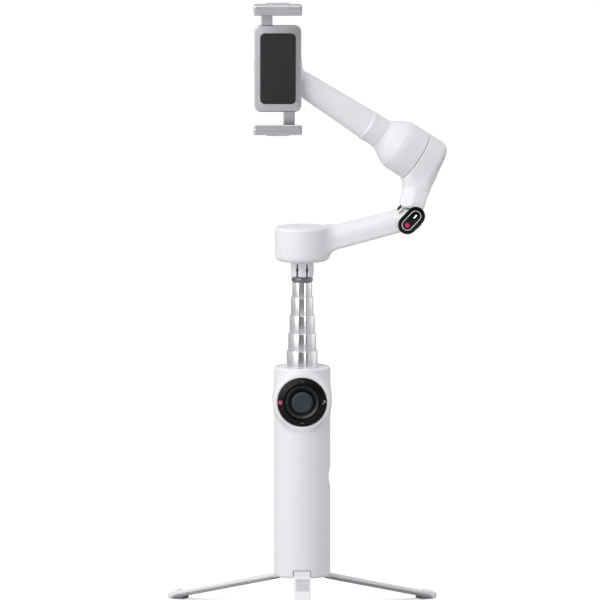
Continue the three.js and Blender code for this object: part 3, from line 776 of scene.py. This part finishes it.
def upper_field(a, b, s):
    x, y, z = from_tilt(a, b, s)
    r = norm(a, b)
    cap = drum(r, s, TILT_R, SEAM, 15, 5.0)
    band = drum(r, s, TILT_R, SEAM, 8, 0.3)
    motor = join(cap, band, 0.1)
    low = beam((x, y, z), (66.9, 0, 228.5), (71.4, 4.5, 243), (1, 0, -0.33),
               (7.7, 7.2), (7.9, 6.9), 3.0)
    high = beam((x, y, z), (70.6, 3.6, 240.5), (75.6, 13, 256), (1, 0, -0.33),
                (7.8, 6.9), (7.6, 7.2), 3.0)
    low = common(low, ridge(x, y, z), 0.5)
    high = common(high, ridge(x, y, z) - 0.2 * np.maximum(z - 241, 0), 0.5)
    limb = join(low, high, 3.0)
    about = norm(x - ELBOW[0], z - ELBOW[2])
    knuckle = drum(about, y, 6.6, 0.2, 7.2, 0.5)
    heel = beam((x, y, z), (68, 3.7, 223), (67.4, 3.7, 231), (1, 0, -0.33),
                (5.0, 3.5), (7.2, 3.5), 0.8)
    arm = join(join(knuckle, heel, 0.8), cut(limb, drum(about, y, 7.3, -12, 0.2), 0.4), 1.5)
    over_pan_arm = (z - 229.5 - 0.26 * (x - 60)) * 0.968
    arm = cut(arm, common(block(x - 59.2, y, z - 226, (4.6, 9, 7)), over_pan_arm), 0.1)
    body = join(motor, arm, 7.0)
    body = cut(body, drum(r, s, 19, -20, SEAM), 0.2)
    body = cut(body, drum(r, s, TILT_R - 1.6, -2, 13.2), 0.3)
    u, v = along_pad(x, z)
    return cut(body, block(u + 2, y, v - 1.4, (3.9, 9, 3.2)), 0.05)


def swept_radius(s):
    """Outer radius of the roll arm's turned end along the tilt axis."""
    stations = (-43, -38, -27, -25.2, -23.6, -21.5, -18.6, -14.5, -11, -0.1)
    radii = (9.3, 9.4, 9.5, 9.7, 10.4, 11.8, 13.7, 15.6, TILT_R, TILT_R)
    return np.interp(s, stations, radii)


def roll_field(a, b, s):
    x, y, z = from_tilt(a, b, s)
    r = norm(a, b)
    before, after = swept_radius(s - 0.3), swept_radius(s + 0.3)
    lean = (after - before) / 0.6
    body = (r - (after + before) / 2) / np.sqrt(1 + lean * lean)
    body = common(body, np.abs(s + 18 + SEAM) - 18, 0.3)
    axis_x, axis_y, axis_z = from_tilt(0, 0, -30)
    limb = beam((x, y, z), (axis_x, axis_y, axis_z), (-4, 3.9, 309.5), (0, 1, 0),
                (9.2, 9.2), (6.8, 7.4), 6.6)
    about = norm(x - CLAMP[0], z - CLAMP[2])
    can = drum(about, y, ROLL_R, -4, 12, 1.6)
    body = join(body, join(limb, can, 6.0), 1.5)
    body = cut(body, drum(about, y, ROLL_R - 1.6, -2.4, 16), 0.3)
    body = cut(body, drum(about, y, 5.2, -6, 0), 0.3)
    body = cut(body, drum(r, s, TILT_R - 1.6, -9, 3), 0.3)
    seam = norm(r - 9.6, s + 26.2) - 0.35
    return join(cut(body, seam, 0.15), drum(r, s, 3, -10, 12.4, 0.2), 0.3)


def make_arms():
    low, high = local_box("upper_arm")
    arm = cast("upper_casting", upper_field, low, high, 0.62, WHITE, TILT)
    stand_in(arm, "arm", "upper_arm")
    low, high = local_box("roll_arm")
    roll = cast("roll_casting", roll_field, low, high, 0.66, WHITE, TILT)
    stand_in(roll, "tilt", "roll_arm")
    back = axes_frame((CLAMP[0], 0, CLAMP[2]), (0, 1, 0))
    lid = turned("roll_lid", [
        (0, 10.1, 0), (ROLL_R - 1.95, 10.1, 0.2), (ROLL_R - 1.95, 11.9, 0.3), (0, 11.9, 0),
    ], WHITE, back, closed=False)
    stand_in(lid, "tilt", "roll_rear_cap")


def local_box(node):
    """Box of a CAD node in the tilt motor's frame."""
    obj = frame["nodes"][node]
    points = np.array([v.co[:] for v in obj.data.vertices]) / MM
    local = (points - TILT[:3, 3]) @ TILT[:3, :3]
    return local.min(0) - 2, local.max(0) + 2


# ---- clamp ----


def jaw_field(x, y, z):
    """Upper jaw in the clamp's frame: shelf with a crowned back, lip and rack."""
    shelf = block(x, y - 38.2, z - 13.4, (14.9, 2.0, 6.5), 1.2)
    crown = block(x, y - 39.4, z - 13.4, (7.2, 1.5, 5.6), 1.2)
    lip = block(x, y - 37, z - 19.15, (14.9, 3.1, 0.75), 0.6)
    rack = block(x + 6.9, y - 10.5, z - 8.25, (3.6, 26.5, 0.35), 0.1)
    return join(join(join(shelf, crown, 1.5), lip, 0.8), rack, 0.3)


def make_clamp():
    face = facing_at(CLAMP[0], CLAMP[2])
    mount = turned("mount_disc", [
        (0, -9, 0), (3, -9, 0.2), (3, 4.4, 0.2), (13, 4.4, 0.4), (13, 6.4, 0.4), (0, 6.4, 0),
    ], STEEL, face, closed=False)
    stand_in(mount, "clamp", "magnetic_mount")
    body = slab("clamp_plate", 14.5, 27, 4, 6.8, 9.7, 0.7, SILVER, face)
    stand_in(body, "clamp", "clamp_body")
    pad = slab("clamp_cushion", 11, 22, 3, 9.75, 10.8, 0.35, RUBBER, face)
    stand_in(pad, "clamp", "clamp_pad")
    low, high = (-15, -16.1, 6.8), (15, 41, 20)
    points, faces = surface(jaw_field, low, high, 0.42)
    half_turn = face @ np.array(Matrix.Rotation(math.pi, 4, "Z"))
    for side, placing in (("up", face), ("down", half_turn)):
        node = "upper_jaw" if side == "up" else "lower_jaw"
        jaw = piece(f"jaw_{side}_casting", moved(points, placing), faces, SILVER)
        stand_in(jaw, f"jaw_{side}", node)
        at = placing @ np.array(Matrix.Translation((0, 0, 14.05)))
        grip = cast(f"jaw_{side}_grip", grip_pad_field, (-13, 35.2, -4), (13, 36.3, 4), 0.3,
                    RUBBER, at)
        stand_in(grip, f"jaw_{side}", f"{node}_pad")


def grip_pad_field(x, y, z):
    """Rubber liner with ribs that run along the phone's edge."""
    ribs = 0.12 * np.cos(z * 2 * math.pi / 1.6)
    return block(x, y - 35.72, z, (13, 0.46, 3.85), 0.2) + ribs * (y < 35.7)


# ---- legs ----


def leg_rise(x, z):
    """Height above the leg's middle, square to its slope."""
    return (z - 0.15 + (x - LEG_PIVOT[0]) * math.tan(LEG_SLOPE)) * math.cos(LEG_SLOPE)


def leg_field(x, y, z):
    """Leg's white shell in a frame whose X points outward, with its heel, eye and lifted tip."""
    up = leg_rise(x, z)
    middle, half = (LEG_PIVOT[0] + LEG_REACH) / 2, (LEG_REACH - LEG_PIVOT[0]) / 2
    bar = block(x - middle, y, up - 0.67, (half, 5.2, 1.03), 0.35)
    core = block(x - middle, y, up, (half - 2, 4.6, 1.3), 0.2)
    tip = block(x - (LEG_REACH - 2.2), y, up - 0.35, (2.2, 5.2, 2.05), 0.9)
    lip = block(x - (LEG_REACH - 3.4), y, up - 2.1, (1.9, 4.4, 0.7), 0.5)
    eye = drum(norm(x - LEG_PIVOT[0], z - LEG_PIVOT[1]), y, 2.1, -5.2, 5.2, 0.3)
    heel = block(x - 14.85, y, z - 2.3, (2.35, 5.2, 2.4), 0.4)
    body = join(join(bar, core, 0.05), join(tip, lip, 0.5), 0.5)
    body = join(join(body, eye, 0.6), heel, 0.6)
    # recess that holds the polished plate of painted shade at the leg's root
    body = cut(body, block(x - 30, y - 0.3, up - 1.85, (10.5, 4.5, 0.3), 0.1), 0.05)
    return cut(body, norm(x - LEG_PIVOT[0], z - LEG_PIVOT[1]) - 1.15)


def runner_field(x, y, z):
    """Grey strip along the leg's underside."""
    up = leg_rise(x, z)
    bar = block(x - 54.5, y, up + 1.33, (36.5, 5.2, 0.8), 0.12)
    return cut(bar, block(x - 54.5, y, up + 0.2, (38, 4.8, 1.6), 0.1))


def root_shade_plate_field(x, y, z):
    """Polished plate let into the leg's root: painted shade, standing for the handle's shadow and reflection on
    the leg's top.
    """
    return block(x - 30, y - 0.3, leg_rise(x, z) - 1.6, (10.4, 4.4, 0.14), 0.08)


def foot_field(x, y, z):
    pad = block(x - 88.3, y, z - GROUND - 2, (4.3, 4.2, 2), 0.4)
    return common(pad, leg_rise(x, z) + 1.78, 0.2)


def make_legs():
    ends = (LEG_REACH, 5.3, 6)
    kinds = {
        "leg_bar": (leg_field, (10, -5.3, GROUND), 0.5, WHITE, "leg"),
        "foot_pad": (foot_field, (84, -4.2, GROUND), 0.4, MATERIALS["rubber_grey"], "foot"),
        "leg_runner": (runner_field, (17, -5.3, GROUND), 0.4, MATERIALS["rubber_grey"], None),
        # polished plate of painted shade: stands for the handle's shadow and reflection on each leg's root
        "leg_shade_plate": (root_shade_plate_field, (19, -5, -8), 0.4, TUBE, None),
    }
    for kind, (field, low, cell, material, node) in kinds.items():
        points, faces = surface(field, low, ends, cell)
        for name, azimuth in LEG_AZIMUTHS.items():
            turn = np.array(Matrix.Rotation(math.radians(azimuth), 4, "Z"))
            obj = piece(f"{kind}_{name}", moved(points, turn), faces, material)
            stand_in(obj, f"tripod_{name}", *([f"{node}_{name}"] if node else []))


# ---- studio ----


FLOOR_HALF = 12.0  # metres
FLOOR_GLOW = 0.6
SKY_WHITE = (0.97, 0.98, 1, 1)


def make_floor():
    floor = bpy.data.meshes.new("floor")
    signs = ((-1, -1), (1, -1), (1, 1), (-1, 1))
    corners = [(x * FLOOR_HALF, y * FLOOR_HALF, GROUND * MM) for x, y in signs]
    floor.from_pydata(corners, [], [(0, 1, 2, 3)])
    plane = bpy.data.objects.new("floor", floor)
    bpy.context.scene.collection.objects.link(plane)
    paper = node_material("paper_floor", (0.55, 0.55, 0.555), 0.8, vary=0.01, emission=(1, 1, 1, 0))
    bright_to_camera(paper.node_tree)
    floor.materials.append(paper)


def make_world():
    """The camera sees plain white, and the object is lit by the softbox pattern."""
    world = bpy.data.worlds.new("studio")
    bpy.context.scene.world = world
    world.use_nodes = True
    tree = world.node_tree
    background = tree.nodes["Background"]
    background.inputs["Color"].default_value = (1, 1, 1, 1)
    background.inputs["Strength"].default_value = 1.0
    soft = tree.nodes.new("ShaderNodeBackground")
    soft.inputs["Color"].default_value = SKY_WHITE
    tree.links.new(softbox_strength(tree), soft.inputs["Strength"])
    mix = tree.nodes.new("ShaderNodeMixShader")
    rays = tree.nodes.new("ShaderNodeLightPath")
    tree.links.new(rays.outputs["Is Camera Ray"], mix.inputs["Fac"])
    tree.links.new(soft.outputs["Background"], mix.inputs[1])
    tree.links.new(background.outputs["Background"], mix.inputs[2])
    tree.links.new(mix.outputs["Shader"], tree.nodes["World Output"].inputs["Surface"])


def make_studio():
    make_floor()
    make_world()
    area_light("key", (-1.05, -1.25, 1.32), 2.2, 27.5)
    area_light("rim", (1.6, 0.58, 0.6), 1.6, 3)
    bpy.context.scene.view_settings.view_transform = "Standard"


def bright_to_camera(tree):
    """The floor looks white to the eye, but throws less light up at the object."""
    rays = tree.nodes.new("ShaderNodeLightPath")
    glow = tree.nodes.new("ShaderNodeMath")
    glow.operation = "MULTIPLY"
    glow.inputs[1].default_value = FLOOR_GLOW
    tree.links.new(rays.outputs["Is Camera Ray"], glow.inputs[0])
    tree.links.new(glow.outputs["Value"], tree.nodes["Principled BSDF"].inputs["Emission Strength"])


def toward(tree, direction, start, full, amount):
    """Strength that grows as a direction nears the given one."""
    place = tree.nodes.new("ShaderNodeTexCoord")
    dot = tree.nodes.new("ShaderNodeVectorMath")
    dot.operation = "DOT_PRODUCT"
    dot.inputs[1].default_value = Vector(direction).normalized()
    tree.links.new(place.outputs["Generated"], dot.inputs[0])
    ramp = tree.nodes.new("ShaderNodeMapRange")
    ramp.interpolation_type = "SMOOTHSTEP"
    ramp.inputs["From Min"].default_value = start
    ramp.inputs["From Max"].default_value = full
    ramp.inputs["To Max"].default_value = amount
    tree.links.new(dot.outputs["Value"], ramp.inputs["Value"])
    return ramp.outputs["Result"]


def softbox_strength(tree):
    """An even room with a dark card in front, a softbox on the left and a glow above."""
    total = None
    for term in (
        toward(tree, (-0.25, 0.97, 0), -0.98, -0.78, 0.60),
        toward(tree, (-0.66, -0.75, 0.12), 0.86, 0.97, 0.35),
        toward(tree, (0, 0.2, 1), 0.5, 1.0, 0.15),
    ):
        if total is None:
            base = tree.nodes.new("ShaderNodeMath")
            base.inputs[1].default_value = 0.06
            tree.links.new(term, base.inputs[0])
            total = base.outputs["Value"]
            continue
        add = tree.nodes.new("ShaderNodeMath")
        tree.links.new(total, add.inputs[0])
        tree.links.new(term, add.inputs[1])
        total = add.outputs["Value"]
    return total


def area_light(name, place, size, power):
    data = bpy.data.lights.new(name, "AREA")
    data.size = size
    data.energy = power
    lamp = bpy.data.objects.new(name, data)
    bpy.context.scene.collection.objects.link(lamp)
    lamp.location = place
    aim = Vector((0, 0, 0.17)) - Vector(place)
    lamp.rotation_euler = aim.to_track_quat("-Z", "Y").to_euler()


def make_camera():
    """Long lens, a little above the object; the front leg runs out of the picture's foot."""
    data = bpy.data.cameras.new("camera")
    data.lens = 1000
    data.sensor_width = 36
    width = 0.372
    distance = width * data.lens / data.sensor_width
    camera = bpy.data.objects.new("camera", data)
    bpy.context.scene.collection.objects.link(camera)
    target = Vector((-0.00136, 0, 0.1722))
    lift = math.radians(7)
    camera.location = target + Vector((0, -math.cos(lift), math.sin(lift))) * distance
    camera.rotation_euler = (math.pi / 2 - lift, 0, 0)
    data.clip_end = 100
    bpy.context.scene.camera = camera


make_camera()
finish_cad_nodes()
make_handle()
make_controls()
make_rod()
make_pan_arm()
make_arms()
make_clamp()
make_legs()
make_studio()
